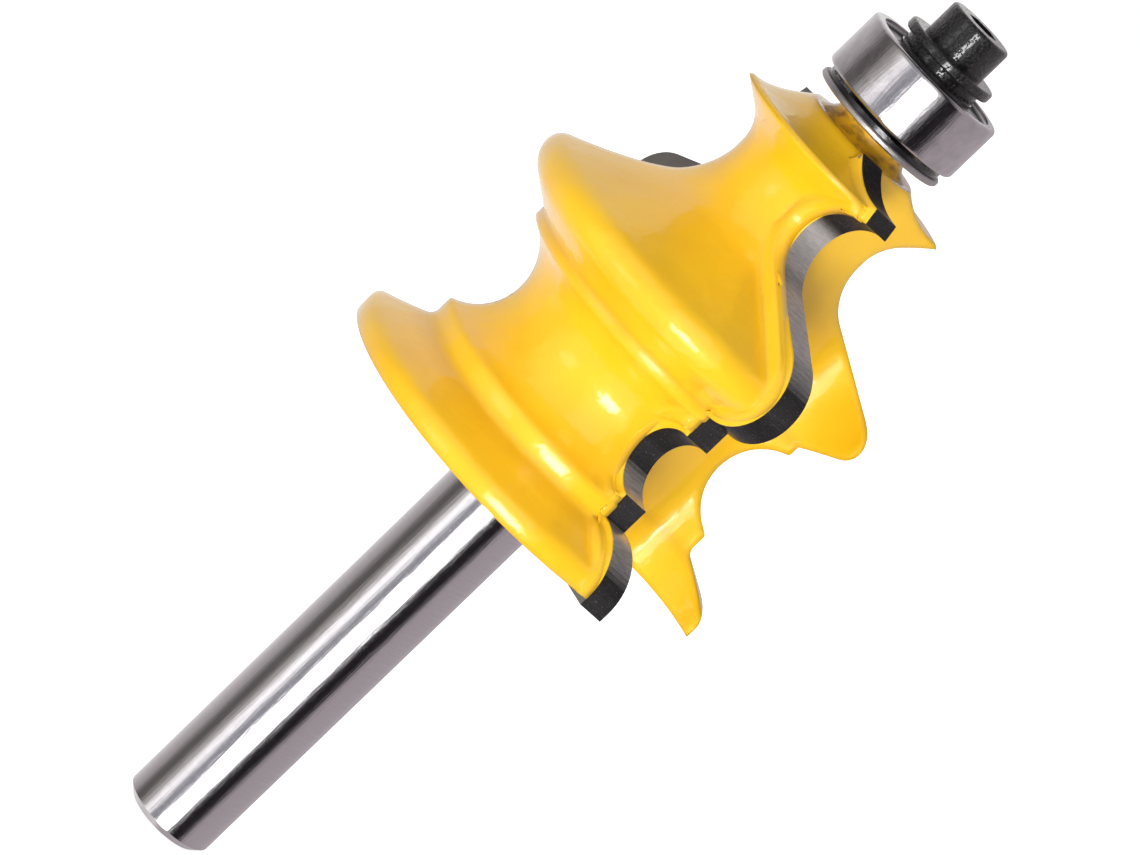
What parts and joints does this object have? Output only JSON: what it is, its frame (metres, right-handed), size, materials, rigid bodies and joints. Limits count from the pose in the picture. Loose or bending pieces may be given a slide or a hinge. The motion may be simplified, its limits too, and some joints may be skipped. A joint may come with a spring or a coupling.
{
  "type": "router bit",
  "caption": "Profile router bit with a round shank, enamelled steel wings with brazed carbide tips, and a screwed-on ball-bearing pilot that rolls along a template.",
  "frame": {"origin": "centre of the shank's end face, on the axis of rotation", "axes": "+Z along the axis of rotation, from the shank towards the pilot screw; the first rake face lies at 43 degrees from +X towards -Y"},
  "size_m": [0.0356, 0.0356, 0.0887],
  "materials": {
    "enamelled_body": "thick glossy yellow enamel on the wings, bare ground steel on the shank",
    "ground_carbide": "finely ground dark tungsten carbide",
    "washer_steel": "bright turned steel",
    "blackened_spacer": "blackened steel",
    "bearing_steel": "polished bearing steel with a thin film of oil",
    "cage_steel": "pressed steel",
    "shield_steel": "stamped stainless steel",
    "spring_wire": "drawn spring wire",
    "black_oxide": "oiled black oxide"
  },
  "bodies": {
    "cutter": {"cutter_body": "enamelled_body", "carbide_tip_1": "ground_carbide", "carbide_tip_2": "ground_carbide", "shield_washer": "washer_steel", "stepped_spacer": "blackened_spacer", "bearing_inner_ring": "bearing_steel", "flange_washer": "black_oxide", "pilot_screw": "black_oxide"},
    "outer_ring": {"bearing_outer_ring": "bearing_steel", "bearing_shield_lower": "shield_steel", "bearing_shield_upper": "shield_steel", "shield_wire_lower": "spring_wire", "shield_wire_upper": "spring_wire"},
    "ball_cage": {"bearing_cage": "cage_steel", "bearing_ball_1": "bearing_steel", "bearing_ball_2": "bearing_steel", "bearing_ball_3": "bearing_steel", "bearing_ball_4": "bearing_steel", "bearing_ball_5": "bearing_steel", "bearing_ball_6": "bearing_steel", "bearing_ball_7": "bearing_steel"}
  },
  "joints": [
    {"name": "outer_ring_spin", "type": "hinge", "parent": "cutter", "child": "outer_ring", "pos_m": [0, 0, 0.08149], "axis": [0, 0, 1], "continuous": true},
    {"name": "cage_spin", "type": "hinge", "parent": "cutter", "child": "ball_cage", "pos_m": [0, 0, 0.08149], "axis": [0, 0, 1], "continuous": true}
  ],
  "couplings": [
    {"joint": "cage_spin", "follows": "outer_ring_spin", "ratio": 0.6364}
  ]
}
